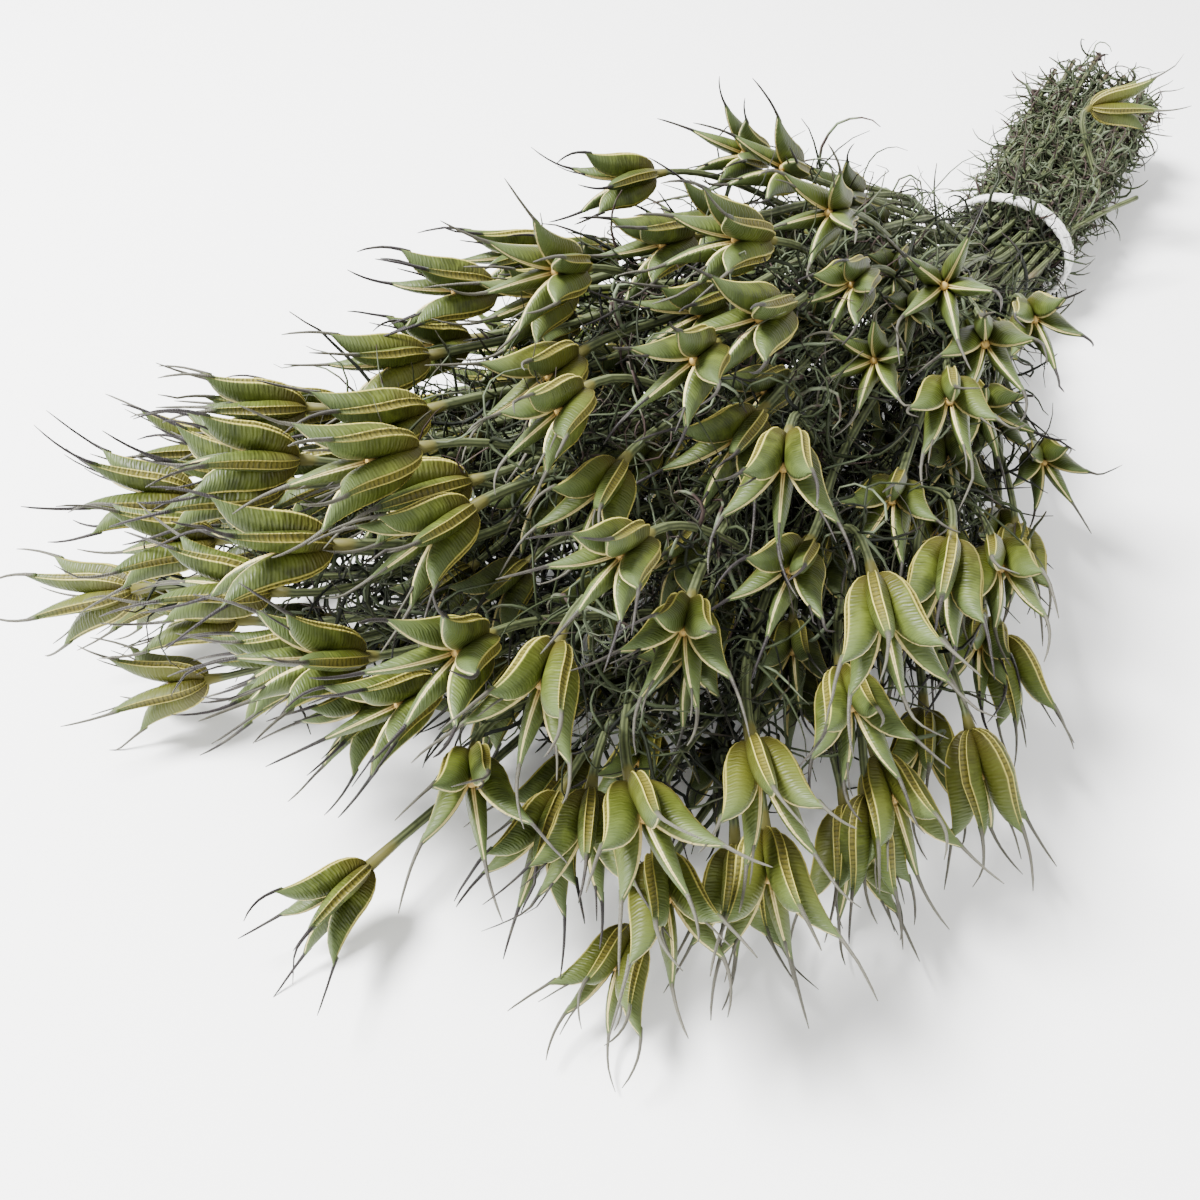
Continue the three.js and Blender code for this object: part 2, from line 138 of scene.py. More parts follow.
def headPoint(place, reach):
    share = reach / bunch["headReach"]
    spread = place["ring"] / math.sqrt(1 - bunch["frontFill"] * filledAt(reach))
    halfWidth = mix(bunch["neckWidth"], bunch["halfWidth"], share)
    height = mix(bunch["neckDepth"], bunch["headHeight"], swell(share))
    height *= 1 - bunch["tilt"] * math.cos(place["turn"])
    return Vector((
        halfWidth * spread * math.cos(place["turn"]),
        -reach,
        bunch["underside"] + height * spread * math.sin(place["turn"]),
    ))


def stemPoint(place, reach):
    tied = stalkPoint(neckSlot(place["ring"], place["turn"]), reach)
    if reach <= 0:
        return tied
    return tied.lerp(headPoint(place, reach), smooth(reach / bunch["gatherLength"]))


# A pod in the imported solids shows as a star: a middle point with a short edge to each valley between lobes.
podStar = {"weld": 0.001, "valleyLow": 3.85, "valleyHigh": 4.15, "seamLow": 10.3, "depth": 8.5,
           "seamOut": 6.8, "rise": 7.5}
podShape = {"closing": 0.33, "waistUp": 10.5}


def readNode(nodeName):
    solid = bmesh.new()
    solid.from_mesh(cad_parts[nodeName].data)
    bmesh.ops.scale(solid, vec=(1 / millimetre,) * 3, verts=solid.verts)
    bmesh.ops.remove_doubles(solid, verts=solid.verts, dist=podStar["weld"])
    pods = []
    for vert in solid.verts:
        lobes = len(vert.link_edges) // 3
        if lobes not in (5, 6) or len(vert.link_edges) != 3 * lobes:
            continue
        spokes = [edge.other_vert(vert).co - vert.co for edge in vert.link_edges]
        spokes.sort(key=lambda spoke: spoke.length)
        valleys = [spoke for spoke in spokes if podStar["valleyLow"] < spoke.length < podStar["valleyHigh"]]
        seams = spokes[lobes:2 * lobes]
        if len(valleys) != lobes or seams[0].length < podStar["seamLow"]:
            continue
        axis = sum(seams, Vector()).normalized()
        across = seams[0] - axis * seams[0].dot(axis)
        splay = 1 - (podStar["seamOut"] - across.length) / (podShape["closing"] * podStar["rise"])
        side = axis.cross(across.normalized())
        base = vert.co - axis * podStar["depth"]
        turned = Matrix((across.normalized(), side, axis)).transposed().to_4x4()
        pods.append({
            "base": base,
            "axis": axis,
            "place": Matrix.Translation(base) @ turned,
            "lobes": lobes,
            "splay": clamp01(splay),
            "hidden": False,
        })
    points = [vert.co.copy() for vert in solid.verts]
    solid.free()
    return points, pods


def bendTo(start, ahead, pod, count):
    third = (pod["base"] - start).length / 3
    arriving = pod["base"] - pod["axis"] * third
    return interpolate_bezier(start, start + ahead * third, arriving, pod["base"], count)


def nearness(point, points):
    return min((point - other).length for other in points)


def smoothPath(points, count):
    path = []
    for i in range(len(points) - 1):
        before = points[i - 1] if i else points[i] * 2 - points[i + 1]
        after = points[i + 2] if i + 2 < len(points) else points[i + 1] * 2 - points[i]
        handleA = points[i] + (points[i + 1] - before) / 6
        handleB = points[i + 1] - (after - points[i]) / 6
        path += interpolate_bezier(points[i], handleA, handleB, points[i + 1], count)[:-1]
    return path + [points[-1]]


# A tube is a grid sheet rolled up: its side edges are welded when the piece is finished, and one more row at
# each end draws in to the middle of the last ring and closes it.
def rollSheet(bm, around, along, material, shape):
    made = bmesh.ops.create_grid(bm, x_segments=around, y_segments=along + 2, size=0.5)["verts"]
    across, up, tint = (bm.verts.layers.float[key] for key in ("across", "along", "tint"))
    rings = [[shape(column, row) for column in range(around)] for row in range(along + 1)]
    rings.insert(0, closedRing(rings[0]))
    rings.append(closedRing(rings[-1]))
    for vert in made:
        column = round((vert.co.x + 0.5) * around) % around
        row = round((vert.co.y + 0.5) * (along + 2))
        vert.co, vert[across], vert[up], vert[tint] = rings[row][column]
        for face in vert.link_faces:
            face.material_index = material
            face.smooth = True


def closedRing(ring):
    middle = sum((point for point, *_ in ring), Vector()) / len(ring)
    return [(middle, *marks) for _, *marks in ring]


def framesAlong(path):
    tangents = []
    for i in range(len(path)):
        tangents.append((path[min(i + 1, len(path) - 1)] - path[max(i - 1, 0)]).normalized())
    side = tangents[0].orthogonal().normalized()
    frames = []
    for tangent in tangents:
        side = (side - tangent * side.dot(tangent)).normalized()
        frames.append((side, tangent.cross(side)))
    return frames


pieceLook = {"weld": 0.0005, "lowest": 0.02}


def newPiece():
    bm = bmesh.new()
    for key in ("across", "along", "tint"):
        bm.verts.layers.float.new(key)
    return bm


def finishPiece(name, bm, materials, node):
    bmesh.ops.remove_doubles(bm, verts=bm.verts, dist=pieceLook["weld"])
    bmesh.ops.recalc_face_normals(bm, faces=bm.faces)
    for vert in bm.verts:
        vert.co.z = max(vert.co.z, pieceLook["lowest"])
    bmesh.ops.scale(bm, vec=(millimetre,) * 3, verts=bm.verts)
    mesh = bpy.data.meshes.new(name)
    bm.to_mesh(mesh)
    bm.free()
    for material in materials:
        mesh.materials.append(material)
    piece = bpy.data.objects.new(name, mesh)
    bpy.context.scene.collection.objects.link(piece)
    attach(piece, "root")
    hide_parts(node)


# Stems are thin ribbed stalks that swell into a small collar under the pod.
stemLook = {"radius": 1.15, "branchRadius": 0.95, "ribs": 6, "ribDepth": 0.16, "collar": 1.5,
            "collarLength": 1.9, "rowLength": 7, "bendPoints": 8, "branchPoints": 14, "probePoints": 3,
            "firstSeed": 11}


def addStem(bm, path, radius, ended, rng):
    frames = framesAlong(path)
    lengths = [0.0]
    for a, b in zip(path, path[1:]):
        lengths.append(lengths[-1] + (b - a).length)
    around = 2 * stemLook["ribs"]
    tint = rng.random()

    def shape(column, row):
        rib = column % 2
        left = lengths[-1] - lengths[row]
        swelling = clamp01(1 - left / stemLook["collarLength"]) if ended else 0
        size = mix(radius, stemLook["collar"], swelling ** 2) * (1 - stemLook["ribDepth"] * (1 - rib))
        angle = 2 * math.pi * column / around
        side, over = frames[row]
        point = path[row] + (side * math.cos(angle) + over * math.sin(angle)) * size
        return point, float(rib), lengths[row] / lengths[-1] + swelling, tint

    rollSheet(bm, around, len(path) - 1, 1, shape)


# One lobe, as rows from the pod's base to its tip: dorsal out and up, ventral out and up, half width of the
# flank, half width of the strip along the back. The section goes from the back's middle to the ventral seam.
lobeLook = {
    "rows": (
        (0.8, -0.4, 0.0, 0.6, 0.55, 0.34),
        (3.0, 0.4, 0.1, 2.6, 1.3, 0.64),
        (5.0, 2.6, 0.2, 5.2, 1.85, 0.84),
        (6.5, 6.0, 0.3, 8.0, 2.1, 0.94),
        (7.3, 10.2, 0.7, 10.6, 2.05, 0.94),
        (8.0, 14.0, 2.1, 14.2, 1.8, 0.86),
        (8.9, 17.3, 4.2, 17.4, 1.38, 0.7),
        (9.9, 20.0, 6.6, 19.6, 0.85, 0.52),
        (10.9, 22.0, 9.9, 21.2, 0.44, 0.34),
    ),
    "steps": 12,
    "section": (
        (0.035, 0.0, 0.0, 0.0),
        (0.03, 0.7, 0.0, 0.14),
        (-0.04, 0.92, 0.0, 0.2),
        (0.05, 1.1, 0.04, 0.26),
        (0.27, 0.0, 0.96, 0.42),
        (0.52, 0.0, 1.0, 0.6),
        (0.8, 0.0, 0.56, 0.8),
        (0.97, 0.0, 0.115, 0.94),
        (0.87, 0.0, 0.0, 1.0),
    ),
    "beak": ((9.8, 19.6, 0.6), (10.8, 21.8, 0.46), (11.8, 24.0, 0.38), (12.7, 26.0, 0.34), (13.5, 28.0, 0.3),
             (14.3, 30.0, 0.25), (15.0, 32.0, 0.1)),
    "beakSides": 5,
    "splitBeak": ((6.9, 19.2, 0.4), (7.6, 20.6, 0.28), (8.5, 22.4, 0.24), (9.5, 24.6, 0.2),
                  (10.5, 26.6, 0.1)),
    "splitShare": 0.35,
    "hub": {"up": 9.7, "radius": 1.1, "across": 0.94, "along": 0.44},
}


def rowAt(rows, t):
    at = clamp01(t) * (len(rows) - 1)
    i = min(int(at), len(rows) - 2)
    t = at - i
    before, start, end, after = (rows[max(0, min(len(rows) - 1, i + k))] for k in (-1, 0, 1, 2))
    return [
        b + t / 2 * (c - a + t * (2 * a - 5 * b + 4 * c - d + t * (3 * (b - c) + d - a)))
        for a, b, c, d in zip(before, start, end, after)
    ]


lobeRows = [rowAt(lobeLook["rows"], i / lobeLook["steps"]) for i in range(lobeLook["steps"] + 1)]

# How far pods and their lobes differ. Hidden pods, those between the others, are smaller and carry painted
# shade: their tint is scaled down and made negative, which darkens them toward a near-black colour.
podVariety = {
    "size": (0.92, 1.07),
    "hiddenSize": 0.9,
    "hiddenShadeTint": 0.4,
    "spin": (-0.05, 0.05),
    "lean": (-0.09, 0.11),
    "twist": (-0.09, 0.09),
    "tall": (0.95, 1.04),
    "tint": (-0.15, 0.15),
    "curlFrom": 20,
    "curlLength": 12,
    "curlOut": (-4.5, 3.0),
    "curlSide": (-5.0, 5.0),
    "kinkAt": (0.35, 0.8),
    "kinkOdds": (0, 0, 1),
    "kink": (-9, 9),
}


def addHub(bm, place, tint):
    hub = lobeLook["hub"]
    middle = place @ Matrix.Translation((0, 0, hub["up"]))
    made = bmesh.ops.create_icosphere(bm, subdivisions=2, radius=hub["radius"], matrix=middle)["verts"]
    for vert in made:
        for key, value in (("across", hub["across"]), ("along", hub["along"]), ("tint", tint)):
            vert[bm.verts.layers.float[key]] = value
        for face in vert.link_faces:
            face.smooth = True


def addPod(bm, pod, rng):
    sections = lobeLook["section"]
    around = 2 * (len(sections) - 1)
    # Hidden pods get painted shade: a lower tint, and a tint below zero.
    hiddenShade = 1 if pod["hidden"] else 0
    podTint = rng.random() * (podVariety["hiddenShadeTint"] if pod["hidden"] else 1)
    podSize = rng.uniform(*podVariety["size"]) * (podVariety["hiddenSize"] if pod["hidden"] else 1)
    addHub(bm, pod["place"] @ Matrix.Scale(podSize, 4), podTint - hiddenShade)
    for lobe in range(pod["lobes"]):
        angle = 2 * math.pi * lobe / pod["lobes"] + rng.uniform(*podVariety["spin"])
        place = pod["place"] @ Matrix.Scale(podSize, 4) @ Matrix.Rotation(angle, 4, "Z")
        lean = rng.uniform(*podVariety["lean"])
        twist = rng.uniform(*podVariety["twist"])
        tall = rng.uniform(*podVariety["tall"])
        tint = clamp01(podTint + rng.uniform(*podVariety["tint"])) - hiddenShade
        curlOut = rng.uniform(*podVariety["curlOut"])
        curlSide = rng.uniform(*podVariety["curlSide"])
        kinkAt = rng.uniform(*podVariety["kinkAt"])
        kink = rng.choice(podVariety["kinkOdds"]) * rng.uniform(*podVariety["kink"])

        def settle(out, side, up):
            above = max(0.0, up - podShape["waistUp"])
            beyond = clamp01((up - podVariety["curlFrom"]) / podVariety["curlLength"])
            out += above * (lean - (1 - pod["splay"]) * podShape["closing"]) + curlOut * beyond ** 2
            side += twist * above + curlSide * beyond ** 2 + kink * max(0.0, beyond - kinkAt)
            return place @ Vector((out, side, up * tall))

        def body(column, row):
            dorsalOut, dorsalUp, ventralOut, ventralUp, flank, strip = lobeRows[row]
            mirrored = column >= len(sections)
            share, stripShare, flankShare, across = sections[around - column if mirrored else column]
            side = (strip * stripShare + flank * flankShare) * (-1 if mirrored else 1)
            out = mix(dorsalOut, ventralOut, share)
            up = mix(dorsalUp, ventralUp, share)
            return settle(out, side, up), across, row / lobeLook["steps"], tint

        def spike(points):
            def shape(column, row):
                out, up, radius = points[row]
                angle = 2 * math.pi * column / lobeLook["beakSides"]
                point = settle(out + radius * math.cos(angle), radius * math.sin(angle), up)
                return point, 0.5, 1 + row / (len(points) - 1), tint
            return shape

        rollSheet(bm, around, lobeLook["steps"], 0, body)
        spikes = [lobeLook["beak"]]
        if rng.random() < lobeLook["splitShare"]:
            spikes.append(lobeLook["splitBeak"])
        for points in spikes:
            rollSheet(bm, lobeLook["beakSides"], len(points) - 1, 0, spike(points))


# Thread leaves grow in tufts along the stems and branches and fill the head between the pods.
threadLook = {
    "sides": 3,
    "steps": 8,
    "stalk": {"gap": 8, "count": (4, 6), "length": (9, 22), "curl": 1.0, "radius": 0.5},
    "head": {"gap": 7, "count": (3, 5), "length": (12, 34), "curl": 1.0, "radius": 0.38},
    "loose": {"gap": 40, "count": (1, 3), "length": (8, 18), "curl": 0.9, "radius": 0.34},
    "evenReach": 250,
    "nearReach": 60,
    "bare": 16,
    "litHeight": 80,
    "dimmest": 0.15,
    "lowThickness": 2.2,
    "thinHeight": 45,
    "turn": (0.1, 1.0),
    "wobble": 0.12,
    "lowest": 0.6,
    "thickness": (0.7, 0.85, 1.0, 1.0, 1.5),
    "taper": 0.75,
    "stalkTint": 0.35,
    "firstTuft": 3.0,
    "crowding": 1.5,
    "facing": (0.3, 1.4),
    "lean": (0.1, 1.3),
    "rootOut": 0.7,
    "unevenGap": (0.6, 1.4),
}


def addThread(bm, root, ahead, zone, rng):
    steps = threadLook["steps"]
    step = rng.uniform(*zone["length"]) / steps
    axis = Vector((rng.gauss(0, 1), rng.gauss(0, 1), rng.gauss(0, 1))).normalized()
    turn = Matrix.Rotation(rng.uniform(*threadLook["turn"]) * zone["curl"], 3, axis)
    path = [root]
    for _ in range(steps):
        wobble = Vector((rng.gauss(0, 1), rng.gauss(0, 1), rng.gauss(0, 1))) * threadLook["wobble"]
        ahead = (turn @ ahead + wobble).normalized()
        point = path[-1] + ahead * step
        point.z = max(point.z, threadLook["lowest"])
        path.append(point)
    frames = framesAlong(path)
    radius = zone["radius"] * rng.choice(threadLook["thickness"])
    # Painted shade: in the head, threads rooted lower get a darker tint, down to the dimmest share near the
    # floor, and lower ones are made thicker so this dark layer closes the gaps.
    lit = 1 if root.y > 0 else mix(threadLook["dimmest"], 1, clamp01(root.z / threadLook["litHeight"]))
    tint = rng.uniform(threadLook["stalkTint"] if root.y > 0 else 0, 1) * lit
    if root.y < 0:
        radius *= mix(threadLook["lowThickness"], 1, clamp01(root.z / threadLook["thinHeight"]))

    def shape(column, row):
        angle = 2 * math.pi * column / threadLook["sides"]
        side, over = frames[row]
        size = radius * (1 - threadLook["taper"] * (row / steps) ** 2)
        return path[row] + (side * math.cos(angle) + over * math.sin(angle)) * size, 0.0, row / steps, tint

    rollSheet(bm, threadLook["sides"], steps, 2, shape)


def addTufts(bm, path, isLoose, rng):
    lengths = [0.0]
    for a, b in zip(path, path[1:]):
        lengths.append(lengths[-1] + (b - a).length)
    at = threadLook["firstTuft"]
    row = 0
    while at < lengths[-1] - threadLook["bare"]:
        while lengths[row + 1] < at:
            row += 1
        root = path[row].lerp(path[row + 1], (at - lengths[row]) / (lengths[row + 1] - lengths[row]))
        ahead = (path[row + 1] - path[row]).normalized()
        zone = threadLook["stalk" if root.y > 0 else "loose" if isLoose else "head"]
        reach = max(threadLook["nearReach"], -root.y)
        crowd = 1 if root.y > 0 or isLoose else (threadLook["evenReach"] / reach) ** threadLook["crowding"]
        side = ahead.orthogonal().normalized()
        facing = rng.uniform(0, 2 * math.pi)
        for _ in range(rng.randint(*zone["count"])):
            facing += rng.uniform(*threadLook["facing"])
            out = Matrix.Rotation(facing, 3, ahead) @ side
            start = (out + ahead * rng.uniform(*threadLook["lean"])).normalized()
            addThread(bm, root + out * threadLook["rootOut"], start, zone, rng)
        at += zone["gap"] * crowd * rng.uniform(*threadLook["unevenGap"])


# The white tie is three turns of twisted soft cord round the oval neck.
tieLook = {"halfWidth": 24.9, "halfDepth": 19.7, "height": 19.9, "turns": 3, "pitch": 1.75, "radius": 1.0,
           "strands": 3, "strandDepth": 0.22, "twist": 5.0, "rows": 240, "sides": 12,
           "startTurn": 0.75, "wander": 0.25, "wanderRate": 2.3}


def addTie(bm):
    path = []
    for i in range(tieLook["rows"] + 1):
        share = i / tieLook["rows"]
        angle = 2 * math.pi * (share * tieLook["turns"] + tieLook["startTurn"])
        wander = tieLook["wander"] * math.sin(angle * tieLook["wanderRate"])
        path.append(Vector((
            (tieLook["halfWidth"] + wander) * math.cos(angle),
            (share - 0.5) * tieLook["pitch"] * tieLook["turns"],
            tieLook["height"] + (tieLook["halfDepth"] + wander) * math.sin(angle),
        )))
    frames = framesAlong(path)
    length = sum((b - a).length for a, b in zip(path, path[1:]))

    def shape(column, row):
        angle = 2 * math.pi * column / tieLook["sides"]
        turned = tieLook["strands"] * angle + 2 * math.pi * row / tieLook["rows"] * length / tieLook["twist"]
        size = tieLook["radius"] * (1 + tieLook["strandDepth"] * math.cos(turned))
        side, over = frames[row]
        point = path[row] + (side * math.cos(angle) + over * math.sin(angle)) * size
        return point, 0.5 + 0.5 * math.cos(turned), row / tieLook["rows"], 0.5

    rollSheet(bm, tieLook["sides"], tieLook["rows"], 0, shape)


def newMaterial(name):
    material = bpy.data.materials.new(name)
    material.use_nodes = True
    tree = material.node_tree
    return material, tree, tree.nodes["Principled BSDF"]


def addNode(tree, kind, **settings):
    node = tree.nodes.new(kind)
    for key, value in settings.items():
        setattr(node, key, value)
    return node


def feed(tree, socket, value):
    if isinstance(value, bpy.types.NodeSocket):
        tree.links.new(value, socket)
    else:
        socket.default_value = value


def calc(tree, operation, *values):
    node = addNode(tree, "ShaderNodeMath", operation=operation)
    for socket, value in zip(node.inputs, values):
        feed(tree, socket, value)
    return node.outputs[0]


def mark(tree, name):
    return addNode(tree, "ShaderNodeAttribute", attribute_name=name).outputs["Fac"]


def rise(tree, value, low, high):
    node = addNode(tree, "ShaderNodeMapRange", interpolation_type="SMOOTHSTEP")
    feed(tree, node.inputs["Value"], value)
    feed(tree, node.inputs["From Min"], low)
    feed(tree, node.inputs["From Max"], high)
    return node.outputs["Result"]


def blend(tree, factor, first, second):
    node = addNode(tree, "ShaderNodeMix", data_type="RGBA")
    feed(tree, node.inputs[0], factor)
    feed(tree, node.inputs[6], first)
    feed(tree, node.inputs[7], second)
    return node.outputs[2]


# Shared by every material: cloudy grain on the piece's own place, at a scale per metre.
def makeGrainGroup():
    group = bpy.data.node_groups.new("dryGrain", "ShaderNodeTree")
    group.interface.new_socket(name="Scale", in_out="INPUT", socket_type="NodeSocketFloat")
    group.interface.new_socket(name="Detail", in_out="INPUT", socket_type="NodeSocketFloat")
    group.interface.new_socket(name="Grain", in_out="OUTPUT", socket_type="NodeSocketFloat")
    entry = group.nodes.new("NodeGroupInput")
    noise = addNode(group, "ShaderNodeTexNoise")
    feed(group, noise.inputs["Vector"], addNode(group, "ShaderNodeTexCoord").outputs["Object"])
    feed(group, noise.inputs["Scale"], entry.outputs["Scale"])
    feed(group, noise.inputs["Detail"], entry.outputs["Detail"])
    feed(group, group.nodes.new("NodeGroupOutput").inputs["Grain"], noise.outputs["Fac"])
    return group


grainGroup = makeGrainGroup()


def grain(tree, scale, detail):
    node = addNode(tree, "ShaderNodeGroup", node_tree=grainGroup)
    feed(tree, node.inputs["Scale"], scale)
    feed(tree, node.inputs["Detail"], detail)
    return node.outputs["Grain"]


def bump(tree, shader, height, strength, distance):
    node = addNode(tree, "ShaderNodeBump")
    feed(tree, node.inputs["Height"], height)
    feed(tree, node.inputs["Strength"], strength)
    feed(tree, node.inputs["Distance"], distance)
    feed(tree, shader.inputs["Normal"], node.outputs["Normal"])


def colour(red, green, blue):
    return red, green, blue, 1.0


podColours = {
    "foot": colour(0.046, 0.037, 0.005),
    "flank": colour(0.022, 0.028, 0.002),
    "flankPale": colour(0.070, 0.088, 0.011),
    "olive": colour(0.080, 0.080, 0.010),
    # Partly the paler grey-green of the lobe tips and partly a painted bluish sheen.
    "tip": colour(0.064, 0.092, 0.034),
    "strip": colour(0.104, 0.092, 0.016),
    "stripDark": colour(0.032, 0.032, 0.005),
    "crest": colour(0.420, 0.370, 0.090),
    "lip": colour(0.560, 0.480, 0.200),
    "lipSplit": colour(0.200, 0.140, 0.045),
    "lipInner": colour(0.330, 0.220, 0.062),
    "beak": colour(0.074, 0.070, 0.054),
    "beakDark": colour(0.020, 0.017, 0.017),
    "shade": colour(0.010, 0.012, 0.004),
}
# Where each colour begins and is whole, on the marks across and along a lobe or on its tint.
podBands = {
    "blotch": (0.40, 0.70),
    "pale": (0.2, 0.6),
    "olive": (0.7, 0.95),
    "foot": (0.52, 0.12),
    "tip": (0.45, 0.95),
    "vein": (0.2, 1.0),
    "rung": (0.0, 0.9),
    "stripTip": (0.55, 0.95),
    "strip": (0.20, 0.17),
    "crestInner": (0.160, 0.190),
    "crestOuter": (0.240, 0.210),
    "crestEnd": (1.05, 0.7),
    "lipInner": (0.62, 0.44),
    "lipSplit": (0.965, 0.985),
    "lip": (0.90, 0.935),
    "beakPale": (0.6, 1.15),
    "beak": (0.97, 1.10),
    "hidden": (0.0, -0.1),
}
podFinish = {"grainScale": 240, "grainDetail": 3, "veinRate": 260, "veinSlant": 14, "rungRate": 170,
             "waviness": 9, "smoothest": 0.34, "roughSpread": 0.25, "specular": 0.22, "veinHeight": 0.3,
             "rungHeight": 0.4, "bump": 0.4, "bumpDepth": 0.0002}
podShares = {"pale": 0.35, "olive": 0.6, "tip": 0.85, "vein": 0.3, "rung": 0.7, "crest": 0.95, "split": 0.85,
             "hidden": 0.45}


def podMaterial():
    material, tree, shader = newMaterial("podSkin")
    across = mark(tree, "across")
    along = mark(tree, "along")
    tint = mark(tree, "tint")
    blotch = grain(tree, podFinish["grainScale"], podFinish["grainDetail"])
    wavy = calc(tree, "MULTIPLY", blotch, podFinish["waviness"])

    def band(value, name):
        return rise(tree, value, *podBands[name])

    def part(value, name):
        return calc(tree, "MULTIPLY", value, podShares[name])

    flank = blend(tree, band(blotch, "blotch"), podColours["flank"], podColours["flankPale"])
    flank = blend(tree, part(band(tint, "pale"), "pale"), flank, podColours["flankPale"])
    flank = blend(tree, part(band(tint, "olive"), "olive"), flank, podColours["olive"])
    flank = blend(tree, band(along, "foot"), flank, podColours["foot"])
    # Toward the tip the flank takes the tip colour: the tips' own paler grey-green together with painted
    # sheen.
    flank = blend(tree, part(band(along, "tip"), "tip"), flank, podColours["tip"])
    wave = calc(tree, "ADD", calc(tree, "MULTIPLY", along, podFinish["veinRate"]),
                calc(tree, "MULTIPLY", across, podFinish["veinSlant"]))
    veins = calc(tree, "SINE", calc(tree, "ADD", wave, wavy))
    flank = blend(tree, part(band(veins, "vein"), "vein"), flank, podColours["flankPale"])
    rungs = calc(tree, "SINE", calc(tree, "ADD", calc(tree, "MULTIPLY", along, podFinish["rungRate"]), wavy))
    strip = blend(tree, part(band(rungs, "rung"), "rung"), podColours["strip"], podColours["stripDark"])
    # Near the tip the strip also takes the tip colour, with its painted sheen.
    strip = blend(tree, band(along, "stripTip"), strip, podColours["tip"])
    skin = blend(tree, band(across, "strip"), flank, strip)
    crestLine = calc(tree, "MULTIPLY", band(across, "crestInner"), band(across, "crestOuter"))
    crestLine = calc(tree, "MULTIPLY", crestLine, band(along, "crestEnd"))
    skin = blend(tree, part(crestLine, "crest"), skin, podColours["crest"])
    lip = blend(tree, band(along, "lipInner"), podColours["lip"], podColours["lipInner"])
    lip = blend(tree, part(band(across, "lipSplit"), "split"), lip, podColours["lipSplit"])
    skin = blend(tree, band(across, "lip"), skin, lip)
    beakPale = band(calc(tree, "ADD", tint, blotch), "beakPale")
    beak = blend(tree, beakPale, podColours["beakDark"], podColours["beak"])
    skin = blend(tree, band(along, "beak"), skin, beak)
    # Painted shade: hidden pods, whose tint is below zero, are blended toward the near-black shade colour.
    skin = blend(tree, part(band(tint, "hidden"), "hidden"), skin, podColours["shade"])
    rough = calc(tree, "MULTIPLY", blotch, podFinish["roughSpread"])
    feed(tree, shader.inputs["Base Color"], skin)
    feed(tree, shader.inputs["Roughness"], calc(tree, "ADD", rough, podFinish["smoothest"]))
    feed(tree, shader.inputs["Specular IOR Level"], podFinish["specular"])
    relief = calc(tree, "ADD", calc(tree, "MULTIPLY", veins, podFinish["veinHeight"]),
                  calc(tree, "MULTIPLY", rungs, podFinish["rungHeight"]))
    bump(tree, shader, relief, podFinish["bump"], podFinish["bumpDepth"])
    return material


stemColours = {
    "grooveShadeAndFleck": colour(0.022, 0.028, 0.011),
    "rib": colour(0.110, 0.128, 0.056),
    "collar": colour(0.078, 0.072, 0.016),
    "cutEnd": colour(0.080, 0.058, 0.034),
}
stemFinish = {"grainScale": 420, "grainDetail": 3, "fleck": (0.45, 0.75), "fleckShare": 0.6,
              "cutEnd": (0.10, 0.0), "cutEndShare": 0.7, "collar": (1.0, 1.4), "smoothest": 0.45,
              "roughSpread": 0.3, "specular": 0.2, "bump": 0.3, "bumpDepth": 0.0002}


def stemMaterial():
    material, tree, shader = newMaterial("stemBark")
    along = mark(tree, "along")
    fleck = grain(tree, stemFinish["grainScale"], stemFinish["grainDetail"])
    # Painted shade: the grooves between the ribs are much darker than the ribs; the same dark colour also
    # makes the random flecks below.
    bark = blend(tree, mark(tree, "across"), stemColours["grooveShadeAndFleck"], stemColours["rib"])
    flecked = calc(tree, "MULTIPLY", rise(tree, fleck, *stemFinish["fleck"]), stemFinish["fleckShare"])
    bark = blend(tree, flecked, bark, stemColours["grooveShadeAndFleck"])
    browned = calc(tree, "MULTIPLY", rise(tree, along, *stemFinish["cutEnd"]), stemFinish["cutEndShare"])
    bark = blend(tree, browned, bark, stemColours["cutEnd"])
    bark = blend(tree, rise(tree, along, *stemFinish["collar"]), bark, stemColours["collar"])
    rough = calc(tree, "MULTIPLY", fleck, stemFinish["roughSpread"])
    feed(tree, shader.inputs["Base Color"], bark)
    feed(tree, shader.inputs["Roughness"], calc(tree, "ADD", rough, stemFinish["smoothest"]))
    feed(tree, shader.inputs["Specular IOR Level"], stemFinish["specular"])
    bump(tree, shader, fleck, stemFinish["bump"], stemFinish["bumpDepth"])
    return material


threadColours = {
    "dark": colour(0.004, 0.005, 0.003),
    "green": colour(0.026, 0.034, 0.015),
    "grey": colour(0.110, 0.136, 0.082),
    "brown": colour(0.036, 0.024, 0.021),
}
threadFinish = {"grainScale": 180, "grainDetail": 2, "green": (0.05, 0.5), "grey": (0.5, 0.85),
                "brown": (1.25, 1.45), "tip": (0.6, 1.0), "tipShare": 0.5, "smoothest": 0.55,
                "roughSpread": 0.2, "specular": 0.15}


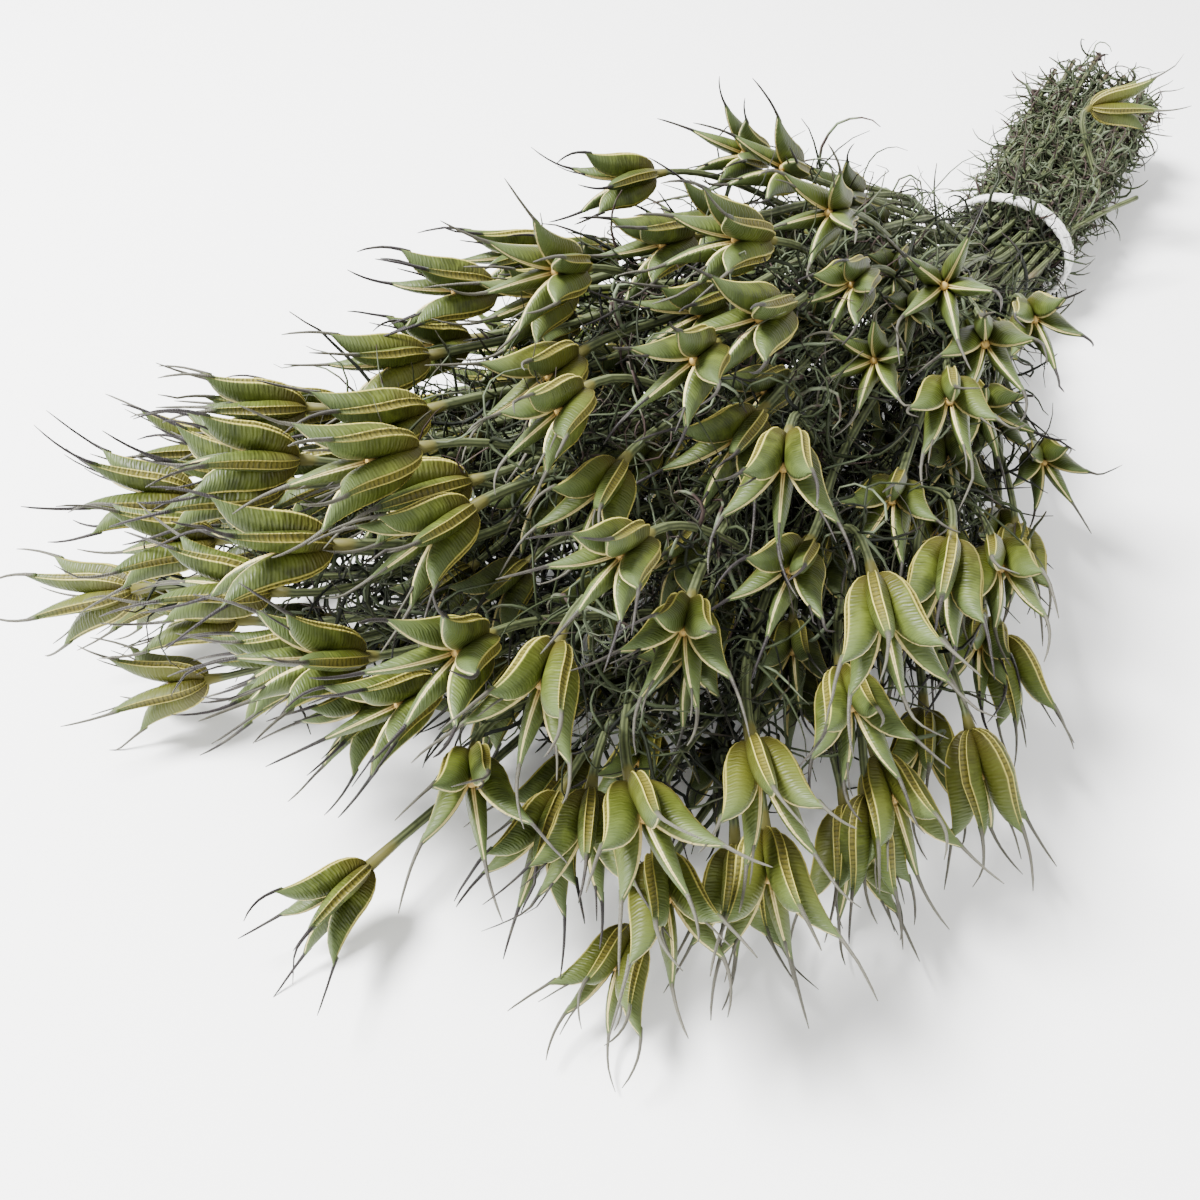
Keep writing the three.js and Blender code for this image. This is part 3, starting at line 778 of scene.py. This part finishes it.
def threadMaterial():
    material, tree, shader = newMaterial("threadLeaf")
    tint = mark(tree, "tint")
    fleck = grain(tree, threadFinish["grainScale"], threadFinish["grainDetail"])
    greened = rise(tree, tint, *threadFinish["green"])
    # Low tints, mostly from the painted shade by height and partly from random tone, take the near-black dark
    # colour.
    leaf = blend(tree, greened, threadColours["dark"], threadColours["green"])
    leaf = blend(tree, rise(tree, tint, *threadFinish["grey"]), leaf, threadColours["grey"])
    browned = rise(tree, calc(tree, "ADD", tint, fleck), *threadFinish["brown"])
    leaf = blend(tree, browned, leaf, threadColours["brown"])
    tip = rise(tree, mark(tree, "along"), *threadFinish["tip"])
    tip = calc(tree, "MULTIPLY", tip, threadFinish["tipShare"])
    leaf = blend(tree, tip, leaf, threadColours["brown"])
    rough = calc(tree, "MULTIPLY", fleck, threadFinish["roughSpread"])
    feed(tree, shader.inputs["Base Color"], leaf)
    feed(tree, shader.inputs["Roughness"], calc(tree, "ADD", rough, threadFinish["smoothest"]))
    feed(tree, shader.inputs["Specular IOR Level"], threadFinish["specular"])
    return material


tieColours = {"cotton": colour(0.66, 0.66, 0.64), "crease": colour(0.16, 0.16, 0.15)}
tieFinish = {"grainScale": 900, "grainDetail": 4, "crease": (0.5, 0.0), "creaseShadeShare": 0.8,
             "fuzz": (0.55, 0.8), "fuzzShare": 0.3, "smoothest": 0.7, "roughSpread": 0.2, "bump": 0.5,
             "bumpDepth": 0.0003}


def tieMaterial():
    material, tree, shader = newMaterial("tieCotton")
    fibre = grain(tree, tieFinish["grainScale"], tieFinish["grainDetail"])
    # Painted shade: the grooves between the twisted strands are blended toward dark grey; the same grey also
    # makes the random fuzz.
    creaseShade = rise(tree, mark(tree, "across"), *tieFinish["crease"])
    cotton = blend(tree, calc(tree, "MULTIPLY", creaseShade, tieFinish["creaseShadeShare"]), tieColours["cotton"],
                   tieColours["crease"])
    fuzzy = calc(tree, "MULTIPLY", rise(tree, fibre, *tieFinish["fuzz"]), tieFinish["fuzzShare"])
    cotton = blend(tree, fuzzy, cotton, tieColours["crease"])
    rough = calc(tree, "MULTIPLY", fibre, tieFinish["roughSpread"])
    feed(tree, shader.inputs["Base Color"], cotton)
    feed(tree, shader.inputs["Roughness"], calc(tree, "ADD", rough, tieFinish["smoothest"]))
    bump(tree, shader, fibre, tieFinish["bump"], tieFinish["bumpDepth"])
    return material


plantMaterials = [podMaterial(), stemMaterial(), threadMaterial()]
print("materials made")

# Smaller pods fill the gaps between the pods of the solids. Each takes the emptiest of some tried places.
innerLook = {"perStem": 2, "tries": 60, "ring": (0.55, 1.02), "turn": 0.4, "back": (10, 110), "nearest": 100,
             "apart": 15, "branch": 48, "middle": 12, "tip": 30, "low": 6, "lobes": 5,
             "splays": (1.0, 0.7, 0.4), "neighbours": 3, "wander": 0.2}
# Three more hang down at the front right edge of the head, as base and direction.
edgePods = (
    ((94, -246, 36), (0.58, -0.42, -0.62)),
    ((88, -214, 36), (0.60, -0.35, -0.62)),
    ((84, -276, 36), (0.48, -0.50, -0.65)),
)


def extraPod(base, axis, reach, hidden, rng):
    turned = axis.to_track_quat("Z", "Y").to_matrix().to_4x4()
    return {
        "base": base,
        "axis": axis,
        "place": Matrix.Translation(base) @ turned,
        "lobes": innerLook["lobes"],
        "splay": rng.choice(innerLook["splays"]),
        "hidden": hidden,
        "fork": reach - innerLook["branch"],
    }


def innerPod(place, taken, rng):
    best = None
    for _ in range(innerLook["tries"]):
        reach = place["reach"] - rng.uniform(*innerLook["back"])
        turn = min(math.pi, max(0.0, place["turn"] + rng.uniform(-1, 1) * innerLook["turn"]))
        base = headPoint({"ring": place["ring"] * rng.uniform(*innerLook["ring"]), "turn": turn}, reach)
        near = sorted(taken, key=lambda pod: (pod["base"] - base).length_squared)[:innerLook["neighbours"]]
        wander = Vector((rng.gauss(0, 1), rng.gauss(0, 1), rng.gauss(0, 1))) * innerLook["wander"]
        axis = (sum((pod["axis"] for pod in near), wander)).normalized()
        middle = base + axis * innerLook["middle"]
        gap = min((pod["base"] + pod["axis"] * innerLook["middle"] - middle).length for pod in near)
        if reach < innerLook["nearest"] or base.z + innerLook["tip"] * axis.z < innerLook["low"]:
            continue
        if gap > innerLook["apart"] and (best is None or gap > best[0]):
            best = (gap, base, axis, reach)
    if best is None:
        return None
    _, base, axis, reach = best
    return extraPod(base, axis, reach, True, rng)


def nearestStem(base):
    def apart(index):
        place = placeOf(index, (index * golden) % 1)
        reach = min(-base.y - innerLook["branch"], place["reach"] - bunch["bendLength"])
        return (stemPoint(place, reach) - base).length
    return min(range(bunch["stems"]), key=apart)


read = {name: readNode(name) for name in (f"stem_{k + 1:02d}" for k in range(bunch["stems"]))}
takenPods = [pod for _, pods in read.values() for pod in pods]
print("pods found in the solids", len(takenPods))

edges = [(Vector(base), Vector(axis).normalized(), -base[1]) for base, axis in edgePods]
extraCount = 0
for index, (nodeName, (points, pods)) in enumerate(read.items()):
    rng = random.Random(index + stemLook["firstSeed"])
    turnShare = (index * golden) % 1
    place = placeOf(index, turnShare)
    start = -bunch["stalkLength"] * mix(bunch["stalkShortest"], 1, draw(index, bunch["stalkPrime"]))
    straight = place["reach"] - bunch["bendLength"]
    rows = math.ceil((straight - start) / stemLook["rowLength"])
    path = [stemPoint(place, mix(start, straight, i / rows)) for i in range(rows + 1)]
    ahead = (path[-1] - path[-2]).normalized()
    pods.sort(key=lambda pod: nearness(bendTo(path[-1], ahead, pod, stemLook["probePoints"])[1], points))
    paths = [path + bendTo(path[-1], ahead, pods[0], stemLook["bendPoints"])[1:]]
    for pod in pods[1:]:
        starts = []
        for step in bunch["forkSteps"]:
            for turn in bunch["forkTurns"]:
                fork = placeOf(index + step, turnShare + turn)["reach"] - bunch["forkLength"]
                fork = min(max(bunch["neckStep"], fork), straight)
                begin = stemPoint(place, fork)
                heading = (pod["base"] - begin).normalized()
                probe = bendTo(begin, heading, pod, stemLook["probePoints"])[1]
                starts.append((nearness(probe, points), begin, heading))
        _, begin, heading = min(starts, key=lambda found: found[0])
        paths.append(bendTo(begin, heading, pod, stemLook["branchPoints"]))
    extra = [extraPod(*edge, False, rng) for edge in edges if nearestStem(edge[0]) == index]
    for _ in range(innerLook["perStem"]):
        pod = innerPod(place, takenPods, rng)
        if pod:
            extra.append(pod)
            takenPods.append(pod)
    for pod in extra:
        begin = stemPoint(place, min(straight, max(bunch["neckStep"], pod["fork"])))
        heading = (pod["base"] - begin).normalized()
        paths.append(bendTo(begin, heading, pod, stemLook["branchPoints"]))
        pods.append(pod)
    extraCount += len(extra)
    bm = newPiece()
    for path, pod in zip(paths, pods):
        addStem(bm, path, stemLook["radius" if path is paths[0] else "branchRadius"], True, rng)
        addPod(bm, pod, rng)
        addTufts(bm, path, False, rng)
    finishPiece(nodeName + "_look", bm, plantMaterials, nodeName)
print("stems made, with more pods", extraCount)

# Two stems lie loose on the surface in front and one is turned back over the cut stalks.
looseLook = {"slots": {"loose_stem_1": (-0.3, -1.08), "loose_stem_2": (0.3, -1.08)}, "height": 7,
             "knotShares": (0.2, 0.5, 0.8), "settledAt": 0.5, "knotPoints": 9, "stubPoints": 5,
             "turned": (1.0, 0.5), "turnedReaches": (30, 0, -45),
             "stub": ((16, -6, 27), (19, 10, 29), (25, 26, 32), (32, 42, 34))}
for nodeName in ("loose_stem_1", "loose_stem_2", "turned_stem"):
    rng = random.Random(nodeName)
    points, pods = readNode(nodeName)
    pod = pods[0]
    if nodeName == "turned_stem":
        knots = [stalkPoint(looseLook["turned"], reach) for reach in looseLook["turnedReaches"]]
    else:
        slot = looseLook["slots"][nodeName]
        tied = stalkPoint(slot, 0)
        knots = [stalkPoint(slot, -bunch["stalkLength"] * bunch["stalkShortest"]), tied]
        for share in looseLook["knotShares"]:
            knot = tied.lerp(pod["base"], share)
            knot.z = mix(tied.z, looseLook["height"], smooth(share / looseLook["settledAt"]))
            knots.append(knot)
    path = smoothPath(knots, looseLook["knotPoints"])
    ahead = (path[-1] - path[-2]).normalized()
    path += bendTo(path[-1], ahead, pod, stemLook["bendPoints"])[1:]
    bm = newPiece()
    addStem(bm, path, stemLook["radius"], True, rng)
    addPod(bm, pod, rng)
    addTufts(bm, path, True, rng)
    if nodeName == "turned_stem":
        stub = smoothPath([Vector(point) for point in looseLook["stub"]], looseLook["stubPoints"])
        addStem(bm, stub, stemLook["branchRadius"], False, rng)
    finishPiece(nodeName + "_look", bm, plantMaterials, nodeName)
print("loose stems made")

bm = newPiece()
addTie(bm)
finishPiece("tie_look", bm, [tieMaterial()], "tie")
print("tie made")

# A plain pale surface, a white surround and two large soft lights.
stageLook = {"half": 6.0, "colour": colour(0.92, 0.92, 0.915), "cloud": colour(0.80, 0.80, 0.80),
             "grainScale": 3, "grainDetail": 2, "cloudShare": 0.04, "roughness": 0.8, "world": 1.3,
             "lit": (0, -0.15, 0.05)}
lights = {
    "keyLight": {"location": (-0.8, -0.7, 1.5), "size": 0.6, "power": 175},
    "fillLight": {"location": (1.2, -1.2, 1.1), "size": 1.2, "power": 22},
}


def floorMaterial():
    material, tree, shader = newMaterial("paleFloor")
    cloud = calc(tree, "MULTIPLY", grain(tree, stageLook["grainScale"], stageLook["grainDetail"]),
                 stageLook["cloudShare"])
    feed(tree, shader.inputs["Base Color"], blend(tree, cloud, stageLook["colour"], stageLook["cloud"]))
    feed(tree, shader.inputs["Roughness"], stageLook["roughness"])
    return material


bm = bmesh.new()
bmesh.ops.create_grid(bm, x_segments=1, y_segments=1, size=stageLook["half"])
floorMesh = bpy.data.meshes.new("floor")
bm.to_mesh(floorMesh)
bm.free()
floorMesh.materials.append(floorMaterial())
floor = bpy.data.objects.new("floor", floorMesh)
bpy.context.scene.collection.objects.link(floor)

world = bpy.data.worlds.new("studio")
world.use_nodes = True
world.node_tree.nodes["Background"].inputs["Color"].default_value = colour(1, 1, 1)
world.node_tree.nodes["Background"].inputs["Strength"].default_value = stageLook["world"]
bpy.context.scene.world = world

for name, look in lights.items():
    data = bpy.data.lights.new(name, "AREA")
    data.shape = "DISK"
    data.size = look["size"]
    data.energy = look["power"]
    light = bpy.data.objects.new(name, data)
    light.location = look["location"]
    light.rotation_euler = (Vector(stageLook["lit"]) - light.location).to_track_quat("-Z", "Y").to_euler()
    bpy.context.scene.collection.objects.link(light)

cameraLook = {"location": (0.1323, -0.4348, 0.2445), "azimuth": 37, "elevation": 44, "angle": 53,
              "nearest": 0.01}
cameraData = bpy.data.cameras.new("camera")
cameraData.angle = math.radians(cameraLook["angle"])
cameraData.clip_start = cameraLook["nearest"]
camera = bpy.data.objects.new("camera", cameraData)
camera.location = cameraLook["location"]
camera.rotation_euler = (math.radians(90 - cameraLook["elevation"]), 0, math.radians(cameraLook["azimuth"]))
bpy.context.scene.collection.objects.link(camera)
bpy.context.scene.camera = camera
print("floor, light and camera set")
